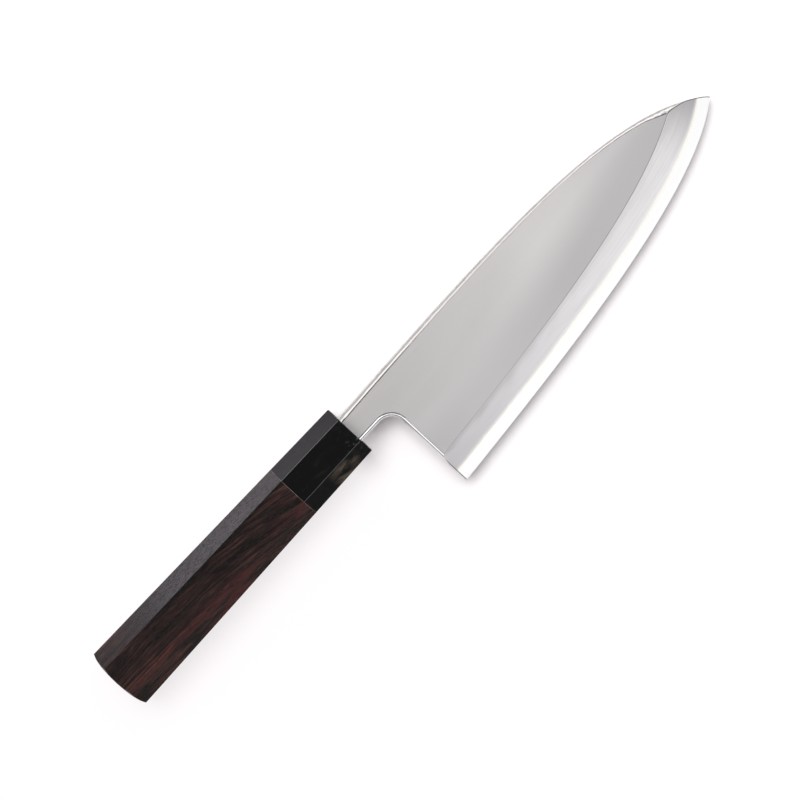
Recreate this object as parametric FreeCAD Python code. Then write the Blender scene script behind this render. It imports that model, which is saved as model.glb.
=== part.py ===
"""Deba: a heavy single-bevel fish knife with a laminated blade and an octagonal wooden handle.

Millimetres. The origin is the centre of the ferrule's front face, where the blade enters the handle.
+X runs along the handle's axis to the tip, +Y to the spine, and +Z out of the bevelled face.
"""
import FreeCAD, Part
import os
from math import cos, pi, radians, sin, tan

# Blade outline, seen on the bevelled face
BLADE_REACH = 193.8  # ferrule face to tip
TIP_DROP = 15.2  # tip below the handle's axis
NECK_TOP = 7.0  # spine above the handle's axis at the ferrule
NECK_HEIGHT = 13.4
CHOIL_SETBACK = 16.8  # ferrule face to the heel's back edge
CHOIL_RADIUS = 6.5  # finger corner between neck and heel
HEEL_DROP = 47.4  # heel below the handle's axis
SPINE_NECK_ANGLE = 1.3  # degrees, the spine leaves the ferrule rising
SPINE_NECK_REACH = 90.0
SPINE_TIP_ANGLE = 46.5  # degrees, the spine falls to the tip
SPINE_TIP_REACH = 37.5
EDGE_HEEL_ANGLE = 4.0  # degrees, the edge leaves the heel rising
EDGE_HEEL_REACH = 80.2
EDGE_TIP_ANGLE = 36.1  # degrees, the edge sweeps up to the tip
EDGE_TIP_REACH = 34.4

# Blade section
NECK_THICKNESS = 6.2
TIP_THICKNESS = 2.7
SPINE_FLAT = 0.6  # what the rounding leaves of the spine's back
CHOIL_ROUND = 1.7  # neck and heel corners on the bevelled face
CHOIL_EASE = 0.6  # the same corners on the hollow face
BEVEL_HEEL = 13.7  # height of the bevel above the edge
BEVEL_TIP = 19.2
BEVEL_CROWN = 0.25  # clam-shell bulge of the bevel
EDGE_LAND = 0.15  # blunt width left at the cutting edge
HOLLOW_DEPTH = 0.45
HOLLOW_EDGE_RIM = 1.6  # flat strip left along the edge
HOLLOW_SPINE_RIM = 3.0  # flat strip left along the spine
HOLLOW_TIP_RIM = 6.0  # flat left at the tip

# Lamination: hard steel on the hollow face, soft iron over it
STEEL_NECK = 2.85
STEEL_TIP = 1.25
SCARF_START = 3.0  # ferrule face to where the hard steel feathers out
SCARF_RUN = 9.0

# Tang
TANG_LENGTH = 100.0  # from the ferrule face
TANG_ROOT_HEIGHT = 10.5
TANG_ROOT_THICKNESS = 5.0
TANG_END_HEIGHT = 6.0
TANG_END_THICKNESS = 3.0
TANG_END_ROUND = 2.0

# Handle
HANDLE_LENGTH = 135.0
FERRULE_LENGTH = 32.8
FRONT_HEIGHT = 23.6
FRONT_WIDTH = 20.8
FRONT_CHAMFER = 5.9
BUTT_HEIGHT = 28.2
BUTT_WIDTH = 24.6
BUTT_CHAMFER = 7.3
BUTT_FLAT_RADIUS = 9.6  # flat middle of the butt, before its edge rounds over
BUTT_ROUND = 9.5
FACET_EASE = 0.35  # rounding of the facets' edges
GLUE_THICKNESS = 0.15

# Inside the handle
FERRULE_WALL = 8.0  # ferrule face to the dowel
DOWEL_BORE = 16.0
DOWEL_CLEARANCE = 0.1  # per side
DOWEL_DEPTH = 27.0  # dowel in the handle body
DOWEL_CHAMFER = 0.8
SEAL_GAP = 0.3  # ferrule mouth around the neck
BEDDING_GAP = 0.6  # dowel slot around the tang
TANG_HOLE = 11.0
TANG_HOLE_SPARE = 2.0  # hole past the tang's end
DRILL_POINT = 118.0  # degrees, the cone at the hole's end

# Places that follow from the sizes above
V = FreeCAD.Vector
X_AXIS = V(1, 0, 0)
Y_AXIS = V(0, 1, 0)
Z_AXIS = V(0, 0, 1)
HOLLOW_FACE = -NECK_THICKNESS / 2
NECK_BOTTOM = NECK_TOP - NECK_HEIGHT
NECK_CENTRE = NECK_TOP - NECK_HEIGHT / 2
DOWEL_FRONT = -FERRULE_WALL
JOINT = -FERRULE_LENGTH
BODY_FRONT = JOINT - GLUE_THICKNESS
DOWEL_END = BODY_FRONT - DOWEL_DEPTH
HOLE_END = -TANG_LENGTH - TANG_HOLE_SPARE
OVERSHOOT = 20.0  # how far cutting tools reach past what they cut
PAST_END = 0.1  # the same along a blade curve, as a share of its parameter
PAST_BEVEL = 0.3  # the same across the bevel, as a share of its height
EDGE_SPANS = 60  # lengths that the edge is drawn in, so that its facets stay short
ROUND_SHARE = 0.5523  # how far to the corner the poles of a quarter round lie


def toward(point, angle, reach):
    """The point at a reach and an angle in degrees from another, in the blade's plane."""
    return point + V(cos(radians(angle)), sin(radians(angle)), 0) * reach


NECK_END = V(0, NECK_TOP, 0)
TIP = V(BLADE_REACH, -TIP_DROP, 0)
HEEL = V(CHOIL_SETBACK, -HEEL_DROP, 0)
SPINE = [
    NECK_END,
    toward(NECK_END, SPINE_NECK_ANGLE, SPINE_NECK_REACH),
    toward(TIP, 180 - SPINE_TIP_ANGLE, SPINE_TIP_REACH),
    TIP,
]
EDGE = [
    HEEL,
    toward(HEEL, EDGE_HEEL_ANGLE, EDGE_HEEL_REACH),
    toward(TIP, 180 + EDGE_TIP_ANGLE, EDGE_TIP_REACH),
    TIP,
]


def thickness(x):
    """Blade thickness at x, tapering evenly from neck to tip."""
    return NECK_THICKNESS + (TIP_THICKNESS - NECK_THICKNESS) * x / BLADE_REACH


def steel_height(x):
    """Top of the hard steel at x, tapering with the blade."""
    return HOLLOW_FACE + STEEL_NECK + (STEEL_TIP - STEEL_NECK) * x / BLADE_REACH


def blossom(poles, parameters):
    """The polar form of a Bezier curve, by repeated interpolation."""
    points = list(poles)
    for t in parameters:
        points = [p * (1 - t) + q * t for p, q in zip(points, points[1:])]
    return points[0]


def stretched(poles, start, end):
    """Poles of the same Bezier curve over another range of its parameter."""
    degree = len(poles) - 1
    return [blossom(poles, [start] * (degree - i) + [end] * i) for i in range(degree + 1)]


def curve_edge(poles):
    """A Bezier curve as an edge."""
    curve = Part.BezierCurve()
    curve.setPoles(poles)
    return curve.toShape()


def patch(rows):
    """A Bezier surface through rows of poles, as a face."""
    surface = Part.BezierSurface()
    surface.increase(len(rows) - 1, len(rows[0]) - 1)
    for i, row in enumerate(rows):
        for j, pole in enumerate(row):
            surface.setPole(i + 1, j + 1, pole)
    return surface.toShape()


def face_within(edges):
    """The flat face inside a loop of edges given in any order."""
    return Part.Face(Part.Wire(Part.__sortEdges__(edges)))


def crowned_rows(low, high, crown, margin=0):
    """Three rows of poles that arch from low to high and run past both by a share of the span."""
    def across(share):
        lift = 4 * share * (1 - share)
        return [a + (b - a) * share + c * lift for a, b, c in zip(low, high, crown)]

    first = across(-margin)
    last = across(1 + margin)
    middle = [m * 2 - (a + b) / 2 for a, m, b in zip(first, across(0.5), last)]
    return [first, middle, last]


def nearest_edge(shape, point):
    """The edge of a shape that passes closest to a point."""
    probe = Part.Vertex(point)
    return min(shape.Edges, key=lambda edge: edge.distToShape(probe)[0])


def prism(points, direction):
    """A closed polygon swept along a direction."""
    return Part.Face(Part.makePolygon(points + points[:1])).extrude(direction)


def frustum(front, back):
    """A solid with flat walls between two rings of corners that turn from +Y to +Z."""
    sides = zip(front, front[1:] + front[:1], back[1:] + back[:1], back)
    rings = [front, back] + [list(side) for side in sides]
    return Part.Solid(Part.Shell([Part.Face(Part.makePolygon(ring + ring[:1])) for ring in rings]))


def side_prism(outline):
    """A blade-wide solid whose outline is given in (x, z)."""
    reach = HEEL_DROP + OVERSHOOT
    return prism([V(x, -reach, z) for x, z in outline], Y_AXIS * 2 * reach)


def bar(x_front, x_back, height, width):
    """A rectangular bar around the tang's line."""
    corner = V(x_back, NECK_CENTRE - height / 2, -width / 2)
    return Part.makeBox(x_front - x_back, height, width, corner)


def rod(x_front, x_back, diameter):
    """A round bar on the handle's axis."""
    return Part.makeCylinder(diameter / 2, x_front - x_back, V(x_back, 0, 0), X_AXIS)


def choil_corner():
    """Centre of the finger corner between the neck and the heel."""
    return V(CHOIL_SETBACK - CHOIL_RADIUS, NECK_BOTTOM - CHOIL_RADIUS, 0)


def blade_outline():
    """The blade's outline without its spine, from the ferrule to past the tip, as a face."""
    neck_tangent = choil_corner() + Y_AXIS * CHOIL_RADIUS
    choil_tangent = choil_corner() + X_AXIS * CHOIL_RADIUS
    shares = [(1 + PAST_END) * i / EDGE_SPANS for i in range(EDGE_SPANS + 1)]
    spans = [stretched(EDGE, start, end) for start, end in zip(shares, shares[1:])]
    edge_end = spans[-1][-1]
    above = NECK_TOP + OVERSHOOT
    corners = [
        edge_end,
        V(edge_end.x, above, 0),
        V(0, above, 0),
        V(0, NECK_BOTTOM, 0),
        neck_tangent,
    ]
    lines = [Part.makeLine(a, b) for a, b in zip(corners, corners[1:])]
    finger = Part.Arc(choil_tangent, toward(choil_corner(), 45, CHOIL_RADIUS), neck_tangent)
    heel = Part.makeLine(HEEL, choil_tangent)
    return face_within(lines + [curve_edge(span) for span in spans] + [finger.toShape(), heel])


def rounding_rows(spine, face, inward):
    """Four rows of poles that round one corner of the spine, from the blade's face to its back."""
    radii = [(thickness(pole.x) - SPINE_FLAT) / 2 for pole in spine]
    on_face = [V(p.x, p.y - r, face(p.x)) for p, r in zip(spine, radii)]
    corner = [V(p.x, p.y, face(p.x)) for p in spine]
    on_back = [V(p.x, p.y, face(p.x) + inward * r) for p, r in zip(spine, radii)]

    def near_corner(row):
        return [pole + (tip - pole) * ROUND_SHARE for pole, tip in zip(row, corner)]

    return [on_face, near_corner(on_face), near_corner(on_back), on_back]


def round_backed_slab():
    """A tapering slab with the blade's two flat faces and its rounded spine, wide open to the edge."""
    neck_share = OVERSHOOT / (3 * SPINE_NECK_REACH)
    spine = stretched(SPINE, -neck_share, 1 + PAST_END)
    far = HEEL_DROP + OVERSHOOT
    upper = rounding_rows(spine, lambda x: HOLLOW_FACE + thickness(x), -1)
    lower = rounding_rows(spine, lambda x: HOLLOW_FACE, 1)

    def drop(point):
        return V(point.x, -far, point.z)

    def flat(rows):
        start, end = rows[0][0], rows[0][-1]
        corners = [end, drop(end), drop(start), start]
        lines = [Part.makeLine(a, b) for a, b in zip(corners, corners[1:])]
        return face_within(lines + [curve_edge(rows[0])])

    def cap(column):
        above, below = ([row[column] for row in rows] for rows in (upper, lower))
        corners = [above[0], drop(above[0]), drop(below[0]), below[0]]
        lines = [Part.makeLine(a, b) for a, b in zip(corners, corners[1:])]
        back = Part.makeLine(above[-1], below[-1])
        return face_within(lines + [back, curve_edge(above), curve_edge(below)])

    open_side = [drop(upper[0][0]), drop(upper[0][-1]), drop(lower[0][-1]), drop(lower[0][0])]
    faces = [
        patch(upper),
        patch(lower),
        patch([upper[-1], lower[-1]]),
        flat(upper),
        flat(lower),
        cap(0),
        cap(-1),
        Part.Face(Part.makePolygon(open_side + open_side[:1])),
    ]
    return Part.Solid(Part.Shell(faces))


def choil_rounded(blank):
    """The blank with its neck and heel corners rounded on both faces."""
    corner = choil_corner()
    places = [
        V(corner.x / 2, NECK_BOTTOM, 0),
        toward(corner, 45, CHOIL_RADIUS),
        V(CHOIL_SETBACK, (corner.y - HEEL_DROP) / 2, 0),
    ]
    upper = [place + Z_AXIS * (HOLLOW_FACE + thickness(place.x)) for place in places]
    lower = [place + Z_AXIS * HOLLOW_FACE for place in places]
    blank = blank.makeFillet(CHOIL_ROUND, [nearest_edge(blank, point) for point in upper])
    return blank.makeFillet(CHOIL_EASE, [nearest_edge(blank, point) for point in lower])


def bevel_cutter():
    """Everything above the single bevel, which arches from the edge to the bevel line."""
    heights = [BEVEL_HEEL, BEVEL_HEEL, BEVEL_HEEL, BEVEL_TIP]
    edge = [pole + Z_AXIS * (HOLLOW_FACE + EDGE_LAND) for pole in EDGE]
    line = [
        V(pole.x, pole.y + height, HOLLOW_FACE + thickness(pole.x))
        for pole, height in zip(EDGE, heights)
    ]
    low = stretched(edge, -PAST_END, 1 + PAST_END)
    high = stretched(line, -PAST_END, 1 + PAST_END)
    rows = crowned_rows(low, high, [Z_AXIS * BEVEL_CROWN] * len(low), PAST_BEVEL)
    return patch(rows).extrude(Z_AXIS * (NECK_THICKNESS + OVERSHOOT))


def hollow_cutter():
    """Everything under the shallow hollow ground into the flat face."""
    end = TIP - X_AXIS * HOLLOW_TIP_RIM
    low = [
        HEEL + V(-CHOIL_SETBACK / 2, HOLLOW_EDGE_RIM, 0),
        EDGE[1] + Y_AXIS * HOLLOW_EDGE_RIM,
        EDGE[2] + Y_AXIS * HOLLOW_EDGE_RIM,
        end,
    ]
    high = [
        V(CHOIL_SETBACK / 2, NECK_BOTTOM - CHOIL_RADIUS, 0),
        V(2 * CHOIL_SETBACK, NECK_TOP + NECK_HEIGHT / 2, 0),
        SPINE[2] - Y_AXIS * HOLLOW_SPINE_RIM,
        end + Y_AXIS * HOLLOW_EDGE_RIM,
    ]
    crown = [Z_AXIS * HOLLOW_DEPTH] * 3 + [V()]
    base = Z_AXIS * HOLLOW_FACE
    rows = crowned_rows([p + base for p in low], [p + base for p in high], crown)
    return patch(rows).extrude(Z_AXIS * -OVERSHOOT)


def steel_zone():
    """The layer of the blade that is hard steel, feathered out towards the neck."""
    far = BLADE_REACH + OVERSHOOT
    full = SCARF_START + SCARF_RUN
    return side_prism([
        (SCARF_START, HOLLOW_FACE),
        (full, steel_height(full)),
        (far, steel_height(far)),
        (far, HOLLOW_FACE - OVERSHOOT),
        (SCARF_START, HOLLOW_FACE - OVERSHOOT),
    ])


def ground_blade():
    """The whole blade from the ferrule to the tip, before it is split into its layers."""
    outline = blade_outline().extrude(Z_AXIS * (NECK_THICKNESS + 2 * OVERSHOOT))
    outline.translate(Z_AXIS * (HOLLOW_FACE - OVERSHOOT))
    blank = choil_rounded(round_backed_slab().common(outline))
    return blank.cut(bevel_cutter()).cut(hollow_cutter())


def mouth_slot():
    """The ferrule's mouth, which follows the neck's section at a gap."""
    depth = NECK_THICKNESS + 2 * SEAL_GAP
    low = V(DOWEL_FRONT, NECK_BOTTOM - SEAL_GAP, HOLLOW_FACE - SEAL_GAP)
    slot = Part.makeBox(FERRULE_WALL, NECK_HEIGHT + 2 * SEAL_GAP, depth, low)
    spine_round = (NECK_THICKNESS - SPINE_FLAT) / 2
    top, bottom = NECK_TOP + SEAL_GAP, NECK_BOTTOM - SEAL_GAP
    corners = [
        (top, low.z, spine_round),
        (top, low.z + depth, spine_round),
        (bottom, low.z, CHOIL_EASE),
        (bottom, low.z + depth, CHOIL_ROUND),
    ]
    for y, z, radius in corners:
        slot = slot.makeFillet(radius + SEAL_GAP, [nearest_edge(slot, V(DOWEL_FRONT / 2, y, z))])
    return slot


def tang():
    """The tapered tang from the neck's shoulder at the ferrule to its end."""
    def section(x, height, width):
        y, z = height / 2, width / 2
        return [V(x, NECK_CENTRE + a, b) for a, b in ((y, z), (-y, z), (-y, -z), (y, -z))]

    end = section(-TANG_LENGTH, TANG_END_HEIGHT, TANG_END_THICKNESS)
    taper = frustum(section(0, TANG_ROOT_HEIGHT, TANG_ROOT_THICKNESS), end)
    corners = [nearest_edge(taper, (a + b) / 2) for a, b in ((end[0], end[3]), (end[1], end[2]))]
    return taper.makeFillet(TANG_END_ROUND, corners)


def core_dowel():
    """The round dowel that joins ferrule and handle body, not yet slotted."""
    dowel = rod(DOWEL_FRONT, DOWEL_END, DOWEL_BORE - 2 * DOWEL_CLEARANCE)
    return dowel.makeChamfer(DOWEL_CHAMFER, [edge for edge in dowel.Edges if edge.isClosed()])


def tang_hole():
    """The drilled hole in the handle body that takes the tang's end."""
    radius = TANG_HOLE / 2
    point = radius / tan(radians(DRILL_POINT / 2))
    cone = Part.makeCone(0, radius, point, V(HOLE_END - point, 0, 0), X_AXIS)
    return rod(DOWEL_END, HOLE_END, TANG_HOLE).fuse(cone)


def octagon(x, height, width, chamfer):
    """The corners of the octagonal handle at x."""
    y, z = height / 2, width / 2
    corner = [(y, z - chamfer), (y - chamfer, z)]
    half = corner + [(-a, b) for a, b in reversed(corner)]
    return [V(x, a, b) for a, b in half + [(-a, -b) for a, b in half]]


def butt_nose():
    """A round bar over the whole handle whose back end rounds over like the butt."""
    axis_end = V(-HANDLE_LENGTH, 0, 0)
    round_centre = axis_end + V(BUTT_ROUND, BUTT_FLAT_RADIUS, 0)
    flat_end = round_centre - X_AXIS * BUTT_ROUND
    round_end = round_centre + Y_AXIS * BUTT_ROUND
    front = V(OVERSHOOT, round_end.y, 0)
    rounding = Part.ArcOfCircle(Part.Circle(round_centre, Z_AXIS, BUTT_ROUND), pi / 2, pi)
    profile = [
        rounding.toShape(),
        Part.makeLine(round_end, front),
        Part.makeLine(front, X_AXIS * OVERSHOOT),
        Part.makeLine(X_AXIS * OVERSHOOT, axis_end),
        Part.makeLine(axis_end, flat_end),
    ]
    return Part.Face(Part.Wire(Part.__sortEdges__(profile))).revolve(V(), X_AXIS, 360)


def handle_form():
    """The outside of ferrule and body together, shaped as one piece."""
    front = octagon(0, FRONT_HEIGHT, FRONT_WIDTH, FRONT_CHAMFER)
    butt = octagon(-HANDLE_LENGTH, BUTT_HEIGHT, BUTT_WIDTH, BUTT_CHAMFER)
    form = frustum(front, butt).common(butt_nose()).Solids[0]
    facets = [face for face in form.Faces if face.Area > HANDLE_LENGTH * FRONT_CHAMFER]
    corners = {edge.hashCode(): edge for facet in facets for edge in facet.OuterWire.Edges}
    straight = [edge for edge in corners.values() if edge.Curve.TypeId == "Part::GeomLine"]
    return form.makeFillet(FACET_EASE, straight)


def handle_span(form, x_front, x_back):
    """The stretch of the handle between two cuts across it."""
    reach = BUTT_HEIGHT + BUTT_WIDTH
    return form.common(Part.makeBox(x_front - x_back, 2 * reach, 2 * reach, V(x_back, -reach, -reach)))


def build():
    """Every piece of the knife by name."""
    blade = ground_blade()
    steel = steel_zone()
    tang_bar = tang()
    mouth = mouth_slot()

    slot_height = TANG_ROOT_HEIGHT + 2 * BEDDING_GAP
    slot_width = TANG_ROOT_THICKNESS + 2 * BEDDING_GAP
    slot = bar(DOWEL_FRONT, DOWEL_END, slot_height, slot_width)
    dowel_bore = rod(DOWEL_FRONT, DOWEL_END, DOWEL_BORE)
    hole = tang_hole()

    form = handle_form()
    ferrule = handle_span(form, OVERSHOOT, JOINT)
    glue_line = handle_span(form, JOINT, BODY_FRONT)
    body = handle_span(form, BODY_FRONT, -HANDLE_LENGTH - OVERSHOOT)

    return {
        "blade_cladding": blade.cut(steel).fuse(tang_bar).removeSplitter(),
        "edge_steel": blade.common(steel),
        "ferrule": ferrule.cut([mouth, dowel_bore]),
        "ferrule_glue_line": glue_line.cut(dowel_bore),
        "handle_body": body.cut([dowel_bore, hole]),
        "core_dowel": core_dowel().cut(slot),
        "tang_bedding": slot.fuse(hole).cut(tang_bar),
        "mouth_seal": mouth.cut(tang_bar),
    }


os.makedirs("parts", exist_ok=True)
for name, shape in build().items():
    solid = shape.Solids[0] if len(shape.Solids) == 1 else shape
    print(name, len(shape.Solids), "solid", shape.isValid(), round(shape.Volume, 1), "mm3")
    solid.exportStep("parts/" + name + ".step")
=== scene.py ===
"""A deba knife on a white table, seen from straight above.

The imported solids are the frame. Both layers of the blade, the ferrule and the handle body are
refined copies of their solids, and every piece is dressed in its own finish.
Metres, with +X to the tip, +Y to the spine and +Z out of the bevelled face.
"""
import logging
import math
from dataclasses import dataclass
from enum import Enum
from typing import Callable, Iterable, Sequence, Union

import bpy
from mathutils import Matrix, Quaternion, Vector
from mathutils.geometry import intersect_point_line


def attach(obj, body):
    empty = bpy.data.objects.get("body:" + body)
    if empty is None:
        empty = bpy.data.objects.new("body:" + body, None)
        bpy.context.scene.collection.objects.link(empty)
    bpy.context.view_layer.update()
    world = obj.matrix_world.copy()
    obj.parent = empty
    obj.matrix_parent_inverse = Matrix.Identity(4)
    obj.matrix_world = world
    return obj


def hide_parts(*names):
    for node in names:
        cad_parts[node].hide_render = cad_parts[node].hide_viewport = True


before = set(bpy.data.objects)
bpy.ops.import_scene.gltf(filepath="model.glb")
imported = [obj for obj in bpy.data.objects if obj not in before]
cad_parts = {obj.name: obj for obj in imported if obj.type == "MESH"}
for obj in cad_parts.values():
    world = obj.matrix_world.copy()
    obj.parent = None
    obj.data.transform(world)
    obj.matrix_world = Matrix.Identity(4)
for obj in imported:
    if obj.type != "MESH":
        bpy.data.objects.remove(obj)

LOG = logging.getLogger("deba")
MM = 0.001

Colour = tuple[float, float, float, float]
Triple = tuple[float, float, float]
Pair = tuple[float, float]
Socket = bpy.types.NodeSocket
Value = Union[float, Colour, Triple, Socket]
Face = bpy.types.MeshPolygon
FaceTest = Callable[[Face], bool]
EdgeTest = Callable[[Face, Face], bool]

# Corners of the blade, seen from above
NECK: Pair = (0.0, 7 * MM)
HEEL: Pair = (16.8 * MM, -47.4 * MM)
TIP: Pair = (193.8 * MM, -15.2 * MM)


def grey(level: float, warmth: float = 0.0) -> Colour:
    """A near-neutral colour, warmer for a positive warmth and cooler for a negative one."""
    return (level * (1 + warmth), level, level * (1 - warmth), 1.0)


def onward(start: Pair, angle: float, reach: float) -> Pair:
    """The point that is a reach away from a start, at an angle in degrees from +X."""
    turn = math.radians(angle)
    return (start[0] + reach * math.cos(turn), start[1] + reach * math.sin(turn))


def everywhere(face: Face) -> bool:
    """Hold every face."""
    return True


def nowhere(face: Face) -> bool:
    """Hold no face."""
    return False


def no_edge(one: Face, other: Face) -> bool:
    """Pick no edge."""
    return False


class Coordinates(Enum):
    """Where a pattern takes its place from."""

    OBJECT = "Object"
    NORMAL = "Normal"
    FLOW = "flow"
    RIM = "rim"


@dataclass(frozen=True)
class Pattern:
    """Soft noise over a surface.

    It has its repeats to the metre along each axis, the number of finer layers (detail), how strong
    these are (rough), how far the noise is pushed about by itself (distortion), its turn in degrees
    about the third axis, and its shift in metres.
    """

    repeats: Triple
    detail: float = 2.0
    rough: float = 0.5
    distortion: float = 0.0
    turn: float = 0.0
    shift: Triple = (0.0, 0.0, 0.0)


class Graph:
    """A shader's node graph, built one node at a time."""

    def __init__(self, tree: bpy.types.NodeTree) -> None:
        """Take over a node tree and empty it."""
        self.tree = tree
        tree.nodes.clear()

    def add(self, kind: str, inputs: dict[Union[str, int], Value], **settings: object) -> bpy.types.Node:
        """Add a node.

        Args:
            kind: The node's type.
            inputs: A value or a socket to link for each named or numbered input.
            settings: Attributes of the node itself.

        Returns:
            The new node.
        """
        node = self.tree.nodes.new(kind)
        for name, setting in settings.items():
            setattr(node, name, setting)
        for name, value in inputs.items():
            if isinstance(value, Socket):
                self.tree.links.new(value, node.inputs[name])
            else:
                node.inputs[name].default_value = value
        return node

    def place(self, source: Coordinates) -> Socket:
        """Find the coordinates that a pattern reads.

        Args:
            source: Where they come from.

        Returns:
            The coordinates.
        """
        if source in (Coordinates.FLOW, Coordinates.RIM):
            return self.add("ShaderNodeUVMap", {}, uv_map=source.value).outputs["UV"]
        return self.add("ShaderNodeTexCoord", {}).outputs[source.value]

    def noise(self, place: Socket, pattern: Pattern) -> Socket:
        """Spread a pattern of noise from 0 to 1.

        Args:
            place: The coordinates that it lies in.
            pattern: How fine and rough it is, and how it is turned and shifted.

        Returns:
            The noise's level.
        """
        turn = (0.0, 0.0, math.radians(pattern.turn))
        moved = self.add("ShaderNodeMapping", {"Vector": place, "Location": pattern.shift, "Rotation": turn})
        scaled = self.add("ShaderNodeMapping", {"Vector": moved.outputs[0], "Scale": pattern.repeats})
        inputs = {
            "Vector": scaled.outputs[0],
            "Scale": 1.0,
            "Detail": pattern.detail,
            "Roughness": pattern.rough,
            "Distortion": pattern.distortion,
        }
        return self.add("ShaderNodeTexNoise", inputs).outputs["Fac"]

    def axis(self, vector: Socket, name: str) -> Socket:
        """One axis of some coordinates."""
        return self.add("ShaderNodeSeparateXYZ", {0: vector}).outputs[name]

    def join(self, x: Value, y: Value, z: Value) -> Socket:
        """Coordinates put together from three axes."""
        return self.add("ShaderNodeCombineXYZ", {"X": x, "Y": y, "Z": z}).outputs[0]

    def sum(self, terms: Iterable[tuple[Socket, float]], start: float = 0.0) -> Socket:
        """Add levels up on top of a start.

        Args:
            terms: Each level with its own weight.
            start: The value to begin with.

        Returns:
            The sum.
        """
        total: Value = start
        for level, weight in terms:
            inputs = {0: level, 1: weight, 2: total}
            total = self.add("ShaderNodeMath", inputs, operation="MULTIPLY_ADD").outputs[0]
        return total

    def times(self, first: Socket, second: Value) -> Socket:
        """The product of two levels."""
        return self.add("ShaderNodeMath", {0: first, 1: second}, operation="MULTIPLY").outputs[0]

    def span(self, level: Socket, low: float, high: float, start: float = 0.0, end: float = 1.0) -> Socket:
        """Ease a level from start to end while it goes from low to high.

        Args:
            level: The level to read.
            low: Where the change begins.
            high: Where the change is complete.
            start: The result at low.
            end: The result at high.

        Returns:
            The eased level.
        """
        inputs = {"Value": level, "From Min": low, "From Max": high, "To Min": start, "To Max": end}
        return self.add("ShaderNodeMapRange", inputs, interpolation_type="SMOOTHSTEP").outputs["Result"]

    def line(self, distance: Socket, width: float) -> Socket:
        """A line along a border, full to half its width and gone at all of it."""
        return self.span(distance, width, width / 2)

    def mix(self, factor: Socket, low: Value, high: Value) -> Socket:
        """Two colours mixed by a factor."""
        return self.add("ShaderNodeMix", {0: factor, 6: low, 7: high}, data_type="RGBA").outputs[2]

    def ramp(self, level: Socket, stops: Iterable[float], colours: Sequence[Colour]) -> Socket:
        """Look a colour up by a level.

        Args:
            level: The level to read.
            stops: The level of each colour.
            colours: The colours.

        Returns:
            The colour.
        """
        node = self.add("ShaderNodeValToRGB", {0: level})
        elements = node.color_ramp.elements
        while len(elements) < len(colours):
            elements.new(1.0)
        for element, stop, colour in zip(elements, stops, colours):
            element.position = stop
            element.color = colour
        return node.outputs["Color"]

    def bump(self, height: Socket, depth: float, strength: float = 1.0) -> Socket:
        """A surface normal pushed about by a height, which is depth metres from 0 to 1."""
        inputs = {"Height": height, "Distance": depth, "Strength": strength}
        return self.add("ShaderNodeBump", inputs).outputs[0]

    def surface(self, **inputs: Value) -> None:
        """Close the graph with a shader.

        Args:
            inputs: The shader's inputs, by their names in small letters.
        """
        named = {
            name.replace("_", " ").title().replace("Ior", "IOR"): value
            for name, value in inputs.items()
        }
        shader = self.add("ShaderNodeBsdfPrincipled", named)
        self.add("ShaderNodeOutputMaterial", {"Surface": shader.outputs[0]})


class Finish:
    """What every finish can do: make its material once and hand it out."""

    name: str

    def paint(self, graph: Graph) -> None:
        """Build the finish into an empty graph."""
        raise NotImplementedError

    def material(self) -> bpy.types.Material:
        """Make the finish's material, at its first use.

        Returns:
            The material.
        """
        known = bpy.data.materials.get("finish_" + self.name)
        if known:
            return known
        made = bpy.data.materials.new("finish_" + self.name)
        made.use_nodes = True
        self.paint(Graph(made.node_tree))
        return made


@dataclass(frozen=True)
class SatinSteel(Finish):
    """Soft iron ground slightly crowned and rubbed along the blade to a grey satin."""

    name: str
    dark: Colour = (0.86, 0.845, 0.84, 1.0)
    light: Colour = (0.97, 0.955, 0.95, 1.0)
    tone_start: float = -0.08
    lines: Pattern = Pattern((1 / (60 * MM), 1 / (0.7 * MM), 1 / (0.7 * MM)), detail=3.0)
    line_tone: float = 0.25
    line_roughness: float = 0.05
    line_depth: float = 0.004 * MM
    clouds: Pattern = Pattern((14, 30, 30))
    cloud_tone: float = 0.9
    cloud_roughness: float = 0.04
    roughness: float = 0.315
    crown_line: float = -8 * MM
    crown: float = 1.4
    heel_shadow: Colour = (0.79, 0.78, 0.78, 1.0)
    shadow: Colour = (0.63, 0.62, 0.62, 1.0)
    shadow_start: Pair = (35 * MM, 115 * MM)
    shadow_reach: Pair = (13 * MM, 31 * MM)
    tip_shade: Colour = (0.74, 0.73, 0.735, 1.0)
    tip_reach: Pair = (105 * MM, 185 * MM)

    def paint(self, graph: Graph) -> None:
        """Paint fine lines along the blade over broad clouds, on a gently crowned flat, with painted shade
        that darkens the flat towards the bevel line and the tip.

        Args:
            graph: The empty graph.
        """
        place = graph.place(Coordinates.OBJECT)
        along = graph.axis(place, "X")
        lines = graph.noise(place, self.lines)
        clouds = graph.noise(place, self.clouds)
        tone = graph.sum([(lines, self.line_tone), (clouds, self.cloud_tone)], self.tone_start)
        rough = graph.sum([(lines, self.line_roughness), (clouds, self.cloud_roughness)], self.roughness)
        across = graph.sum([(graph.axis(place, "Y"), 1.0)], -self.crown_line)
        height = graph.sum([(graph.times(across, across), -self.crown), (lines, self.line_depth)])
        away = graph.axis(graph.place(Coordinates.FLOW), "Y")
        # Painted shade: the flat darkens towards the bevel line, more so away from the heel, and towards the
        # tip.
        shadow = graph.mix(graph.span(along, *self.shadow_start), self.heel_shadow, self.shadow)
        satin = graph.mix(tone, self.dark, self.light)
        satin = graph.mix(graph.span(along, *self.tip_reach), satin, self.tip_shade)
        graph.surface(
            base_color=graph.mix(graph.span(away, *self.shadow_reach), shadow, satin),
            metallic=1.0,
            roughness=rough,
            normal=graph.bump(height, depth=1.0),
        )


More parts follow.
